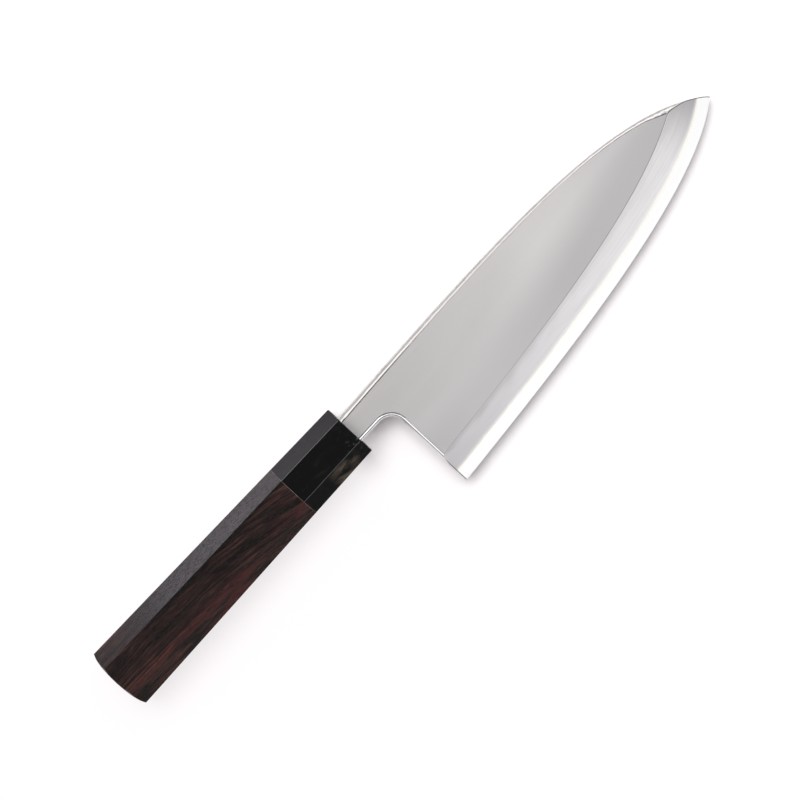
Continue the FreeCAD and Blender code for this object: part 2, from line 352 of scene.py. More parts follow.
@dataclass(frozen=True)
class StonedBevel(Finish):
    """The bevel as it comes off the stones: hazy iron above, bright hard steel along the edge."""

    name: str
    haze_dark: Colour = (0.72, 0.70, 0.715, 1.0)
    haze_light: Colour = (0.93, 0.91, 0.925, 1.0)
    haze_roughness: float = 0.20
    tone_start: float = -0.45
    streaks: Pattern = Pattern((40, 1300, 1), detail=3.0, rough=0.7, turn=3)
    streak_tone: float = 1.3
    streak_roughness: float = 0.06
    streak_depth: float = 0.01 * MM
    patches: Pattern = Pattern((24, 90, 1))
    patch_tone: float = 0.6
    # Painted shade: the hazy iron darkens towards the heel and towards the tip.
    bevel_heel_shade: Colour = (0.46, 0.445, 0.46, 1.0)
    heel_reach: Pair = (-60 * MM, 120 * MM)
    bevel_tip_shade: Colour = (0.38, 0.37, 0.385, 1.0)
    tip_reach: Pair = (150 * MM, 192 * MM)
    bright: Colour = grey(0.865)
    roughness: float = 0.21
    band: float = 5.4 * MM
    fade: float = 2.0 * MM
    wander: Pattern = Pattern((30, 0, 1), detail=3.0)
    wave: float = 1.3 * MM
    seam: Colour = (0.88, 0.855, 0.81, 1.0)
    seam_reach: Pair = (3.0 * MM, 5.2 * MM)
    # Painted shade: a fine dark line along the bevel line, deeper towards the tip.
    ridge: Colour = grey(0.16)
    ridge_width: float = 0.32 * MM
    ridge_reach: Pair = (20 * MM, 150 * MM)
    ridge_depth: Pair = (0.5, 0.85)
    # Painted highlight: a lighter band on the bevel just below the bevel line.
    gleam: Colour = grey(0.93)
    gleam_width: float = 0.8 * MM
    gleam_depth: float = 0.5
    # Painted shade: dark outlines along the bevel's border with the spine and at its heel end.
    outline_shade: Colour = grey(0.10)
    heel_width: float = 0.45 * MM
    rim_width: float = 0.42 * MM

    def paint(self, graph: Graph) -> None:
        """Paint the hazy iron and the bright steel, with painted shade in fine dark lines along the bevel's
        borders and a painted highlight beside the bevel line.

        Args:
            graph: The empty graph.
        """
        flow = graph.place(Coordinates.FLOW)
        streaks = graph.noise(flow, self.streaks)
        haze, steel = self.hard_steel(graph, flow, streaks)
        iron = self.soft_iron(graph, flow, streaks)
        along = graph.axis(graph.place(Coordinates.OBJECT), "X")
        rims = graph.place(Coordinates.RIM)
        below = graph.axis(rims, "Y")
        # Painted highlight beside the bevel line.
        gleam = graph.times(graph.span(below, self.gleam_width, self.ridge_width), self.gleam_depth)
        iron = graph.mix(gleam, iron, self.gleam)
        # Painted shade: a dark line along the bevel line.
        depth = graph.span(along, *self.ridge_reach, *self.ridge_depth)
        iron = graph.mix(graph.times(graph.line(below, self.ridge_width), depth), iron, self.ridge)
        bevel = graph.mix(haze, steel, iron)
        # Painted shade: dark outlines along the spine's border and at the heel end.
        bevel = graph.mix(graph.line(graph.axis(rims, "X"), self.rim_width), bevel, self.outline_shade)
        heel = graph.line(graph.sum([(along, 1.0)], -HEEL[0]), self.heel_width)
        graph.surface(
            base_color=graph.mix(heel, bevel, self.outline_shade),
            metallic=1.0,
            roughness=graph.sum(
                [(haze, self.haze_roughness), (streaks, self.streak_roughness)], self.roughness
            ),
            normal=graph.bump(graph.times(streaks, haze), self.streak_depth),
        )

    def hard_steel(self, graph: Graph, flow: Socket, streaks: Socket) -> tuple[Socket, Socket]:
        """Paint the bright band, up to a wandering warm line where the two steels meet.

        Args:
            graph: The graph to build in.
            flow: The coordinates along the edge and away from it.
            streaks: The level of the stones' streaks.

        Returns:
            The share of hazy iron, and the band's colour.
        """
        wander = graph.noise(flow, self.wander)
        terms = [(graph.axis(flow, "Y"), 1.0), (wander, self.wave), (streaks, self.fade / 2)]
        distance = graph.sum(terms, -self.wave / 2 - self.fade / 4)
        haze = graph.span(distance, self.band - self.fade / 2, self.band + self.fade / 2)
        return haze, graph.mix(graph.span(distance, *self.seam_reach), self.bright, self.seam)

    def soft_iron(self, graph: Graph, flow: Socket, streaks: Socket) -> Socket:
        """Paint the hazy iron, with streaks that follow the edge, and painted shade that darkens it towards
        the heel and the tip.

        Args:
            graph: The graph to build in.
            flow: The coordinates along the edge and away from it.
            streaks: The level of the stones' streaks.

        Returns:
            The iron's colour.
        """
        along = graph.axis(flow, "X")
        patches = graph.noise(flow, self.patches)
        tone = graph.sum([(streaks, self.streak_tone), (patches, self.patch_tone)], self.tone_start)
        iron = graph.mix(tone, self.haze_dark, self.haze_light)
        # Painted shade towards the heel and the tip.
        iron = graph.mix(graph.span(along, *self.heel_reach), self.bevel_heel_shade, iron)
        return graph.mix(graph.span(along, *self.tip_reach), iron, self.bevel_tip_shade)


@dataclass(frozen=True)
class PolishedSteel(Finish):
    """Steel rounded by hand. It may be rougher on its steep side and midway along the blade, and its steep
    side takes a colour of its own, which is painted light and shade.
    """

    name: str
    colour: Colour
    dull: Colour
    side: Colour
    roughness: float = 0.07
    middle_roughness: float = 0.0
    side_roughness: float = 0.0
    marks: Pattern = Pattern((60, 900, 900), detail=3.0)
    mark_roughness: float = 0.06
    steepness: Pair = (0.6, 0.35)
    neck_reach: Pair = (18 * MM, 55 * MM)
    tip_reach: Pair = (160 * MM, 125 * MM)

    def paint(self, graph: Graph) -> None:
        """Paint faint polishing marks along the rounding, and give its steep side its own colour as painted
        light and shade.

        Args:
            graph: The empty graph.
        """
        place = graph.place(Coordinates.OBJECT)
        along = graph.axis(place, "X")
        marks = graph.noise(place, self.marks)
        middle = graph.times(graph.span(along, *self.neck_reach), graph.span(along, *self.tip_reach))
        steep = graph.span(graph.axis(graph.place(Coordinates.NORMAL), "Z"), *self.steepness)
        rougher = [
            (middle, self.middle_roughness), (marks, self.mark_roughness), (steep, self.side_roughness),
        ]
        graph.surface(
            # Painted light and shade: the steep side takes its own colour, lighter on the spine and darker on
            # the choil.
            base_color=graph.mix(steep, graph.mix(marks, self.dull, self.colour), self.side),
            metallic=1.0,
            roughness=graph.sum(rougher, self.roughness),
        )


@dataclass(frozen=True)
class HollowSteel(Finish):
    """The hollow back: long grinding lines in hard steel."""

    name: str
    dark: Colour = grey(0.38)
    light: Colour = grey(0.52)
    lines: Pattern = Pattern((9, 1300, 400), detail=4.0, rough=0.6, turn=6)
    line_depth: float = 0.006 * MM
    line_roughness: float = 0.12
    roughness: float = 0.24

    def paint(self, graph: Graph) -> None:
        """Paint grinding lines along the blade.

        Args:
            graph: The empty graph.
        """
        lines = graph.noise(graph.place(Coordinates.OBJECT), self.lines)
        graph.surface(
            base_color=graph.mix(lines, self.dark, self.light),
            metallic=1.0,
            roughness=graph.sum([(lines, self.line_roughness)], self.roughness),
            normal=graph.bump(lines, self.line_depth),
        )


@dataclass(frozen=True)
class BlackHorn(Finish):
    """Polished buffalo horn, black with a brown translucent patch low on one side."""

    name: str
    black: Colour = (0.0045, 0.0045, 0.005, 1.0)
    brown: Colour = (0.125, 0.10, 0.073, 1.0)
    pale: Colour = (0.085, 0.085, 0.08, 1.0)
    streaks: Pattern = Pattern((90, 330, 330), detail=4.0, rough=0.65, distortion=0.5, turn=6)
    streak_roughness: float = 0.08
    patch_streaks: Pair = (0.36, 0.62)
    patch_side: Pair = (-5.5 * MM, -7.5 * MM)
    patch_middle: float = -12 * MM
    patch_reach: float = 8.5 * MM
    faint_streaks: Pair = (0.55, 0.75)
    faint_depth: float = 0.06
    flecks: Pattern = Pattern((420, 800, 800), rough=0.6)
    fleck_level: Pair = (0.58, 0.72)
    fleck_along: Pair = (-9 * MM, -3 * MM)
    fleck_across: Pair = (1 * MM, -4 * MM)
    fleck_share: Pair = (0.05, 0.6)
    fleck_depth: float = 0.003 * MM
    roughness: float = 0.26
    ior: float = 1.2

    def paint(self, graph: Graph) -> None:
        """Paint streaks along the horn that show in the patch, and pale flecks near the front.

        Args:
            graph: The empty graph.
        """
        place = graph.place(Coordinates.OBJECT)
        along = graph.axis(place, "X")
        across = graph.axis(place, "Y")
        streaks = graph.noise(place, self.streaks)
        offset = graph.sum([(along, 1.0)], -self.patch_middle)
        near = graph.span(graph.times(offset, offset), self.patch_reach**2, 0.0)
        patch = graph.times(graph.span(across, *self.patch_side), near)
        shown = graph.times(patch, graph.span(streaks, *self.patch_streaks))
        faint = graph.span(streaks, *self.faint_streaks)
        horn = graph.mix(graph.sum([(shown, 1.0), (faint, self.faint_depth)]), self.black, self.brown)
        flecks = graph.noise(place, self.flecks)
        front = graph.times(graph.span(along, *self.fleck_along), graph.span(across, *self.fleck_across))
        least, more = self.fleck_share
        fleck = graph.times(graph.span(flecks, *self.fleck_level), graph.sum([(front, more)], least))
        graph.surface(
            base_color=graph.mix(fleck, horn, self.pale),
            roughness=graph.sum([(streaks, self.streak_roughness)], self.roughness),
            ior=self.ior,
            normal=graph.bump(flecks, self.fleck_depth),
        )


@dataclass(frozen=True)
class Rosewood(Finish):
    """Oiled dark rosewood: red-brown and black layers that lean across the handle, with open pores."""

    name: str
    black: Colour = (0.010, 0.008, 0.008, 1.0)
    brown: Colour = (0.028, 0.016, 0.0145, 1.0)
    red: Colour = (0.095, 0.041, 0.034, 1.0)
    stops: Triple = (0.28, 0.50, 0.80)
    tone_start: float = -0.65
    butt: float = -135 * MM
    front: float = -33 * MM
    lean: float = 14.0
    wave: Pattern = Pattern((20, 60, 60), detail=1.0)
    wave_height: float = 4 * MM
    layers: Pattern = Pattern((34, 640, 300), detail=3.0, rough=0.62, distortion=0.3)
    broad: Pattern = Pattern((14, 90, 70))
    broad_tone: float = 0.6
    fine: Pattern = Pattern((150, 2100, 1400), rough=0.65)
    fine_tone: float = 0.7
    fine_roughness: float = 0.12
    fine_height: float = 0.3
    # Painted shade: the wood is darker on the spine's side, except towards the butt.
    shade_across: Pair = (4 * MM, 7 * MM)
    shade_along: Pair = (-125 * MM, -95 * MM)
    shade_tone: float = -0.3
    edge_side: Pair = (-4.5 * MM, -8 * MM)
    edge_tone: float = 0.12
    veins: Pattern = Pattern((11, 150, 90), distortion=0.3, shift=(0.0, 20 * MM, 0.0))
    vein_middle: float = 0.5
    vein_reach: Pair = (0.04, 0.01)
    vein_depth: float = 0.75
    patch: Colour = (0.100, 0.028, 0.026, 1.0)
    patches: Pattern = Pattern((26, 170, 110), distortion=0.5, shift=(13 * MM, 0.0, 0.0))
    patch_level: Pair = (0.46, 0.56)
    patch_grain: Pair = (0.25, 0.6)
    pores: Pattern = Pattern((420, 2400, 2400))
    pore_level: Pair = (0.46, 0.36)
    pore_tone: float = 0.75
    pore_roughness: float = 0.15
    pore_depth: float = 0.025 * MM
    pore_strength: float = 0.6
    roughness: float = 0.16
    ior: float = 1.25

    def paint(self, graph: Graph) -> None:
        """Paint layers, black veins, red patches and pores, all through the wood, with painted shade on the
        spine's side of the handle.

        Args:
            graph: The empty graph.
        """
        place = graph.place(Coordinates.OBJECT)
        across = graph.axis(place, "Y")
        grain = self.grain(graph, place)
        fine = graph.noise(grain, self.fine)
        # Painted shade on the spine's side, fading out towards the butt.
        shade_across = graph.span(across, *self.shade_across)
        painted_shade = graph.times(shade_across, graph.span(graph.axis(place, "X"), *self.shade_along))
        edge_side = graph.span(across, *self.edge_side)
        level = graph.sum(
            [
                (graph.noise(grain, self.layers), 1.0),
                (fine, self.fine_tone),
                (graph.noise(grain, self.broad), self.broad_tone),
                (painted_shade, self.shade_tone),
                (edge_side, self.edge_tone),
            ],
            self.tone_start,
        )
        wood = graph.ramp(level, self.stops, (self.black, self.brown, self.red))
        wood = graph.mix(self.vein(graph, grain), wood, self.black)
        patches = graph.span(graph.noise(grain, self.patches), *self.patch_level)
        shown = graph.times(graph.times(patches, edge_side), graph.span(fine, *self.patch_grain))
        wood = graph.mix(shown, wood, self.patch)
        pore = graph.span(graph.noise(grain, self.pores), *self.pore_level)
        height = graph.sum([(pore, -1.0), (fine, self.fine_height)])
        graph.surface(
            base_color=graph.mix(graph.times(pore, self.pore_tone), wood, self.black),
            roughness=graph.sum([(fine, self.fine_roughness), (pore, self.pore_roughness)], self.roughness),
            ior=self.ior,
            normal=graph.bump(height, self.pore_depth, self.pore_strength),
        )

    def vein(self, graph: Graph, grain: Socket) -> Socket:
        """Find where black veins run, which is where their noise is near its middle.

        Args:
            graph: The graph to build in.
            grain: The coordinates that follow the grain.

        Returns:
            How strongly a vein shows.
        """
        off = graph.sum([(graph.noise(grain, self.veins), 1.0)], -self.vein_middle)
        outer, inner = self.vein_reach
        return graph.times(graph.span(graph.times(off, off), outer**2, inner**2), self.vein_depth)

    def grain(self, graph: Graph, place: Socket) -> Socket:
        """Let coordinates follow the grain, straight at the butt and leaning at the ferrule.

        Args:
            graph: The graph to build in.
            place: The object's coordinates.

        Returns:
            The same coordinates, pushed across the handle along a bowed and slightly wavy line.
        """
        along = graph.axis(place, "X")
        from_butt = graph.sum([(along, 1.0)], -self.butt)
        bow = math.tan(math.radians(self.lean)) / (2 * (self.front - self.butt))
        wave = graph.noise(place, self.wave)
        terms = [(graph.times(from_butt, from_butt), bow), (wave, self.wave_height)]
        across = graph.sum([*terms, (graph.axis(place, "Y"), 1.0)])
        return graph.join(along, across, graph.axis(place, "Z"))


@dataclass(frozen=True)
class MottledFinish(Finish):
    """One pattern between two colours, for scale, glue, raw wood and resin."""

    name: str
    dark: Colour
    light: Colour
    pattern: Pattern
    level: Pair
    roughness: float
    unevenness: float
    depth: float = 0.0
    metallic: float = 0.0

    def paint(self, graph: Graph) -> None:
        """Paint the pattern in colour, roughness and, where it has a depth, in height.

        Args:
            graph: The empty graph.
        """
        pattern = graph.noise(graph.place(Coordinates.OBJECT), self.pattern)
        relief = {"normal": graph.bump(pattern, self.depth)} if self.depth else {}
        graph.surface(
            base_color=graph.mix(graph.span(pattern, *self.level), self.dark, self.light),
            metallic=self.metallic,
            roughness=graph.sum([(pattern, self.unevenness)], self.roughness),
            **relief,
        )


@dataclass(frozen=True)
class PaintedFloorLight:
    """How a stretch of the table looks to the camera: the light it throws back and the glow it adds, painted
    light that lifts the knife's shadow there.
    """

    gain: Colour
    glow: Colour


@dataclass(frozen=True)
class WhiteTable(Finish):
    """A matt white table whose painted light differs under the handle, the finger notch and the blade, so
    that the handle's shadow is paler.
    """

    name: str
    matt: Colour = grey(0.8)
    mirrored: Colour = grey(1.0)
    # Painted light that lifts the shadow: strongly by the handle, less by the notch and the blade.
    handle: PaintedFloorLight = PaintedFloorLight(grey(0.25), (0.80, 0.772, 0.78, 1.0))
    notch: PaintedFloorLight = PaintedFloorLight(grey(1.05), (0.115, 0.09, 0.10, 1.0))
    blade: PaintedFloorLight = PaintedFloorLight(grey(0.9), (0.27, 0.25, 0.255, 1.0))
    notch_start: Pair = (-14 * MM, 12 * MM)
    blade_start: Pair = (15 * MM, 35 * MM)

    def paint(self, graph: Graph) -> None:
        """Paint a white that keeps the knife's shadow, and that metal mirrors as white.

        Args:
            graph: The empty graph.
        """
        rays = graph.add("ShaderNodeLightPath", {}).outputs
        mirrored = graph.sum([(rays["Is Glossy Ray"], 1.0), (rays["Is Transmission Ray"], 1.0)])
        unseen = graph.mix(mirrored, self.matt, self.mirrored)
        along = graph.axis(graph.place(Coordinates.OBJECT), "X")
        notch = graph.span(along, *self.notch_start)
        blade = graph.span(along, *self.blade_start)
        # Painted light: gain and glow change along the table, lifting the handle's shadow most.
        gain = graph.mix(blade, graph.mix(notch, self.handle.gain, self.notch.gain), self.blade.gain)
        glow = graph.mix(blade, graph.mix(notch, self.handle.glow, self.notch.glow), self.blade.glow)
        seen = rays["Is Camera Ray"]
        matt = graph.add("ShaderNodeBsdfDiffuse", {"Color": graph.mix(seen, unseen, gain)})
        added = graph.add("ShaderNodeEmission", {"Color": glow, "Strength": seen})
        both = graph.add("ShaderNodeAddShader", {0: matt.outputs[0], 1: added.outputs[0]})
        graph.add("ShaderNodeOutputMaterial", {"Surface": both.outputs[0]})


@dataclass(frozen=True)
class Zone:
    """A part of a piece's skin and the finish that it wears."""

    finish: Finish
    holds: FaceTest


@dataclass
class Piece:
    """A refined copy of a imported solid, which stands for it."""

    node: str
    name: str
    slot: str
    seam: float = 0.002 * MM
    flatness: float = 0.05

    def copy(self) -> bpy.types.Object:
        """Copy the solid's mesh into an object of its own, close its seams and join its flat faces.

        Returns:
            The copy, the only selected object.
        """
        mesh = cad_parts[self.node].data.copy()
        mesh.name = self.name
        mesh.materials.clear()
        obj = bpy.data.objects.new(self.name, mesh)
        bpy.context.collection.objects.link(obj)
        bpy.ops.object.select_all(action="DESELECT")
        obj.select_set(True)
        bpy.context.view_layer.objects.active = obj
        bpy.ops.object.mode_set(mode="EDIT")
        bpy.ops.mesh.customdata_custom_splitnormals_clear()
        bpy.ops.mesh.select_all(action="SELECT")
        bpy.ops.mesh.remove_doubles(threshold=self.seam)
        bpy.ops.mesh.dissolve_limited(angle_limit=math.radians(self.flatness))
        bpy.ops.object.mode_set(mode="OBJECT")
        return obj

    def select_edges(self, obj: bpy.types.Object, wanted: EdgeTest) -> None:
        """Select the edges between certain neighbouring faces and stay in edit mode.

        Args:
            obj: The piece.
            wanted: Says whether the edge between two faces is one of them.
        """
        mesh = obj.data
        around: dict[tuple[int, int], list[Face]] = {}
        for face in mesh.polygons:
            for key in face.edge_keys:
                around.setdefault(key, []).append(face)
        bpy.ops.object.mode_set(mode="EDIT")
        bpy.ops.mesh.select_mode(type="EDGE")
        bpy.ops.mesh.select_all(action="DESELECT")
        bpy.ops.object.mode_set(mode="OBJECT")
        for edge in mesh.edges:
            faces = around.get(edge.key, [])
            edge.select = len(faces) == 2 and (wanted(*faces) or wanted(*reversed(faces)))
        bpy.ops.object.mode_set(mode="EDIT")

    def smooth(self, obj: bpy.types.Object, angle: float, crisp: EdgeTest) -> None:
        """Shade the piece smoothly, with its large faces kept flat.

        Args:
            obj: The piece.
            angle: The widest angle in degrees that is still smooth.
            crisp: Says which edges stay sharp whatever their angle.
        """
        bpy.ops.object.shade_smooth_by_angle(angle=math.radians(angle))
        self.select_edges(obj, crisp)
        bpy.ops.mesh.mark_sharp()
        bpy.ops.object.mode_set(mode="OBJECT")
        bpy.ops.object.modifier_add(type="WEIGHTED_NORMAL")
        obj.modifiers[-1].keep_sharp = True
        bpy.ops.object.modifier_apply(modifier=obj.modifiers[-1].name)

    def wear(self, obj: bpy.types.Object, zones: Sequence[Zone]) -> None:
        """Give each face the finish of the first zone that holds it.

        Args:
            obj: The piece.
            zones: The zones, the last of which holds every face that is left.
        """
        for zone in zones:
            obj.data.materials.append(zone.finish.material())
        for face in obj.data.polygons:
            face.material_index = next(i for i, zone in enumerate(zones) if zone.holds(face))

    def settle(self, obj: bpy.types.Object) -> None:
        """Let the piece ride on the knife in place of its solid.

        Args:
            obj: The piece.
        """
        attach(obj, "root")
        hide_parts(self.node)
        LOG.info("%s: %d faces stand for %s", self.name, len(obj.data.polygons), self.node)


@dataclass(frozen=True)
class Curve:
    """A cubic curve along the blade, seen from above, with its ends and the two poles between them."""

    poles: tuple[Pair, Pair, Pair, Pair]
    halvings: int = 40

    def point(self, share: float) -> Vector:
        """Find a point of the curve.

        Args:
            share: How far along the curve it is, from 0 to 1.

        Returns:
            The point.
        """
        rest = 1 - share
        weights = (rest**3, 3 * rest**2 * share, 3 * rest * share**2, share**3)
        return sum((Vector(pole) * weight for pole, weight in zip(self.poles, weights)), Vector((0, 0)))

    def share_at(self, x: float) -> float:
        """Find the share of the curve that lies before x, by halving.

        Args:
            x: The place along the blade.

        Returns:
            The share.
        """
        low, high = 0.0, 1.0
        for _ in range(self.halvings):
            middle = (low + high) / 2
            if self.point(middle).x < x:
                low = middle
            else:
                high = middle
        return low


@dataclass(frozen=True)
class Grind:
    """How far the rounded spine reaches over the face at one place, and how far it is ground further."""

    x: float
    width: float
    back: float
    down: float


@dataclass
class Blade:
    """The laminated blade: soft iron over hard steel, with one bevel."""

    edge: Curve = Curve((HEEL, onward(HEEL, 4.0, 80.2 * MM), onward(TIP, 36.1, -34.4 * MM), TIP))
    spine: Curve = Curve((NECK, onward(NECK, 1.3, 90 * MM), onward(TIP, -46.5, -37.5 * MM), TIP))
    bevel_heel: float = 13.7 * MM
    bevel_tip: float = 19.2 * MM
    bevel_start: float = 15 * MM
    bevel_limit: float = 1.03
    bevel_rise: float = 0.85
    bevel_lean: float = -0.05
    bevel_meets_spine: float = 178.6 * MM
    tip_slope: float = 0.17
    flat_rise: float = 0.998
    flat_start: float = 3.1 * MM
    flat_slope: float = 0.01806
    back_rise: float = -0.97
    spine_lean: float = 0.02
    tang_end: float = 0.01 * MM
    smooth_angle: float = 40.0
    flow_steps: int = 200
    slope_step: float = 0.01
    far: float = 1.0
    grinds: tuple[Grind, ...] = (
        Grind(140 * MM, 1.56 * MM, 0.0, 0.0),
        Grind(157.6 * MM, 1.42 * MM, 0.0, 0.26 * MM),
        Grind(165 * MM, 1.39 * MM, 0.2 * MM, 0.43 * MM),
        Grind(170 * MM, 1.39 * MM, 0.6 * MM, 0.48 * MM),
        Grind(174 * MM, 1.36 * MM, 1.35 * MM, 1.0 * MM),
        Grind(178.4 * MM, 1.37 * MM, 1.9 * MM, 1.05 * MM),
        Grind(181.9 * MM, 0.95 * MM, 1.3 * MM, 1.1 * MM),
        Grind(184.5 * MM, 0.38 * MM, 0.6 * MM, 0.6 * MM),
        Grind(186.5 * MM, 0.05 * MM, 0.0, 0.0),
    )
    grind_across: float = 1.08
    grind_depth: float = 1.1
    point_start: float = 184 * MM
    point_reach: Triple = (0.6 * MM, 0.55 * MM, 0.0)
    satin: SatinSteel = SatinSteel("satin_iron")
    stoned: StonedBevel = StonedBevel("stoned_bevel")
    hollow: HollowSteel = HollowSteel("hollow_back")
    # The last colour is the steep side's painted light.
    spine_rounding: PolishedSteel = PolishedSteel(
        "spine_rounding", grey(0.75, 0.02), grey(0.69, 0.02), grey(0.97, 0.01),
        middle_roughness=0.18, side_roughness=0.4,
    )
    # The last colour is the steep side's painted shade.
    choil_rounding: PolishedSteel = PolishedSteel("choil_rounding", grey(0.90), grey(0.82), grey(0.80))
    forge_scale: MottledFinish = MottledFinish(
        "tang_scale", (0.018, 0.016, 0.017, 1.0), (0.075, 0.062, 0.055, 1.0),
        Pattern((220, 220, 220), detail=6.0, rough=0.65), (0.35, 0.7),
        roughness=0.5, unevenness=0.3, depth=0.06 * MM, metallic=0.4,
    )

    def bevel_share(self, point: Vector) -> float:
        """Find how far up the bevel a point lies.

        Args:
            point: The point.

        Returns:
            The share of the bevel below it, from 0 at the edge to 1 at the bevel line.
        """
        share = self.edge.share_at(point.x)
        height = self.bevel_heel + (self.bevel_tip - self.bevel_heel) * share**3
        return (point.y - self.edge.point(share).y) / height

    def on_bevel(self, face: Face) -> bool:
        """Whether a face belongs to the bevel."""
        leans = face.normal.z > self.bevel_rise and face.normal.y < self.bevel_lean
        return leans and face.center.x > self.bevel_start and self.bevel_share(face.center) < self.bevel_limit

    def on_flat(self, face: Face) -> bool:
        """Whether a face belongs to the flat above the bevel."""
        return face.normal.z > self.flat_rise and face.center.x > 0

    def on_back(self, face: Face) -> bool:
        """Whether a face belongs to the hollow back."""
        return face.normal.z < self.back_rise

    def on_spine(self, face: Face) -> bool:
        """Whether a face belongs to the rounded spine."""
        return face.normal.y > self.spine_lean

    def on_tang(self, face: Face) -> bool:
        """Whether a face belongs to the tang inside the handle."""
        return face.center.x < self.tang_end

    def below_bevel(self, one: Face, other: Face) -> bool:
        """Whether an edge is where the bevel meets a steep face."""
        return self.on_bevel(one) and other.normal.z < self.bevel_rise

    def round_bevel(self, one: Face, other: Face) -> bool:
        """Whether an edge is where the bevel meets any other face."""
        return self.on_bevel(one) and not self.on_bevel(other)

    def lay_flow(self, mesh: bpy.types.Mesh) -> None:
        """Map the mesh along the edge and away from it, in metres.

        Args:
            mesh: The mesh that gets the map.
        """
        points = [self.edge.point(i / self.flow_steps) for i in range(self.flow_steps + 1)]
        lengths = [0.0]
        for before, after in zip(points, points[1:]):
            lengths.append(lengths[-1] + (after - before).length)
        places: list[Pair] = []
        for vertex in mesh.vertices:
            share = self.edge.share_at(vertex.co.x)
            before = self.edge.point(max(0.0, share - self.slope_step))
            after = self.edge.point(min(1.0, share + self.slope_step))
            slope = (after - before).normalized()
            away = (vertex.co.y - self.edge.point(share).y) * slope.x
            places.append((lengths[round(share * self.flow_steps)] + away * slope.y, away))
        flow = mesh.uv_layers.new(name=Coordinates.FLOW.value)
        for loop in mesh.loops:
            flow.data[loop.index].uv = places[loop.vertex_index]

    def lay_rim(self, mesh: bpy.types.Mesh, above: FaceTest, beside: FaceTest) -> None:
        """Map the mesh by its distances from two of the bevel's borders, in metres.

        Args:
            mesh: The mesh that gets the map.
            above: Says whether a face lies beyond the first border.
            beside: Says whether a face lies beyond the second border.
        """
        bevel = {key for face in mesh.polygons if self.on_bevel(face) for key in face.edge_keys}
        reaches: list[list[float]] = []
        for beyond in (above, beside):
            keys = bevel & {key for face in mesh.polygons if beyond(face) for key in face.edge_keys}
            border = [tuple(mesh.vertices[index].co.copy() for index in key) for key in keys]
            reaches.append([
                min((self.gap(vertex.co, *ends) for ends in border), default=self.far)
                for vertex in mesh.vertices
            ])
        rim = mesh.uv_layers.new(name=Coordinates.RIM.value)
        for loop in mesh.loops:
            rim.data[loop.index].uv = tuple(reach[loop.vertex_index] for reach in reaches)

    def gap(self, point: Vector, start: Vector, end: Vector) -> float:
        """Measure how far a point is from the line between two others.

        Args:
            point: The point.
            start: One end of the line.
            end: The other end.

        Returns:
            The distance.
        """
        near, share = intersect_point_line(point, start, end)
        closest = start if share < 0 else end if share > 1 else near
        return (point - closest).length

    def widen_spine(self, mesh: bpy.types.Mesh) -> None:
        """Let the rounded spine reach further over the face near the tip, as it is ground by hand.

        Args:
            mesh: The mesh whose vertices move.
        """
        for vertex in mesh.vertices:
            for low, high in zip(self.grinds, self.grinds[1:]):
                if low.x <= vertex.co.x < high.x:
                    vertex.co += self.ground(vertex.co, low, high)
                    break
        mesh.update()

    def ground(self, point: Vector, low: Grind, high: Grind) -> Vector:
        """Find how far a point of the rounding moves when the spine is ground further.

        Args:
            point: The point.
            low: The grind behind it.
            high: The grind in front of it.

        Returns:
            The move, which is none off the upper rounding and largest at the rounding's inner border.
        """
        share = (point.x - low.x) / (high.x - low.x)
        width = low.width + (high.width - low.width) * share
        inward = self.spine.point(self.spine.share_at(point.x)).y - point.y
        face_height = self.flat_start - self.flat_slope * point.x
        deep = point.z < face_height - self.grind_depth * width
        if deep or not 0 < inward < self.grind_across * width:
            return Vector((0, 0, 0))
        back = low.back + (high.back - low.back) * share
        down = low.down + (high.down - low.down) * share
        rise = self.flat_slope * back if point.x < self.bevel_meets_spine else -self.tip_slope * down
        return Vector((-back, -down, rise)) * min(1.0, inward / width)

    def draw_point(self, mesh: bpy.types.Mesh) -> None:
        """Draw the point out a little further, as the photograph shows it.

        Args:
            mesh: The mesh whose vertices move.
        """
        for vertex in mesh.vertices:
            share = (vertex.co.x - self.point_start) / (TIP[0] - self.point_start)
            vertex.co += Vector(self.point_reach) * min(1.0, max(0.0, share))**2
        mesh.update()

    def build(self) -> None:
        """Refine both layers of the blade and dress them."""
        bevel = Zone(self.stoned, self.on_bevel)
        spine = Zone(self.spine_rounding, self.on_spine)
        rest = Zone(self.choil_rounding, everywhere)

        iron = Piece("blade_cladding", "iron_cladding", "soft_iron")
        obj = iron.copy()
        self.widen_spine(obj.data)
        self.lay_flow(obj.data)
        self.draw_point(obj.data)
        iron.smooth(obj, self.smooth_angle, self.below_bevel)
        self.lay_rim(obj.data, self.on_spine, self.on_flat)
        tang = Zone(self.forge_scale, self.on_tang)
        flat = Zone(self.satin, self.on_flat)
        iron.wear(obj, [tang, bevel, flat, spine, rest])
        iron.settle(obj)

        steel = Piece("edge_steel", "hard_steel_layer", "hard_steel")
        obj = steel.copy()
        self.lay_flow(obj.data)
        self.draw_point(obj.data)
        steel.smooth(obj, self.smooth_angle, self.round_bevel)
        self.lay_rim(obj.data, self.on_spine, nowhere)
        steel.wear(obj, [Zone(self.hollow, self.on_back), bevel, spine, rest])
        steel.settle(obj)


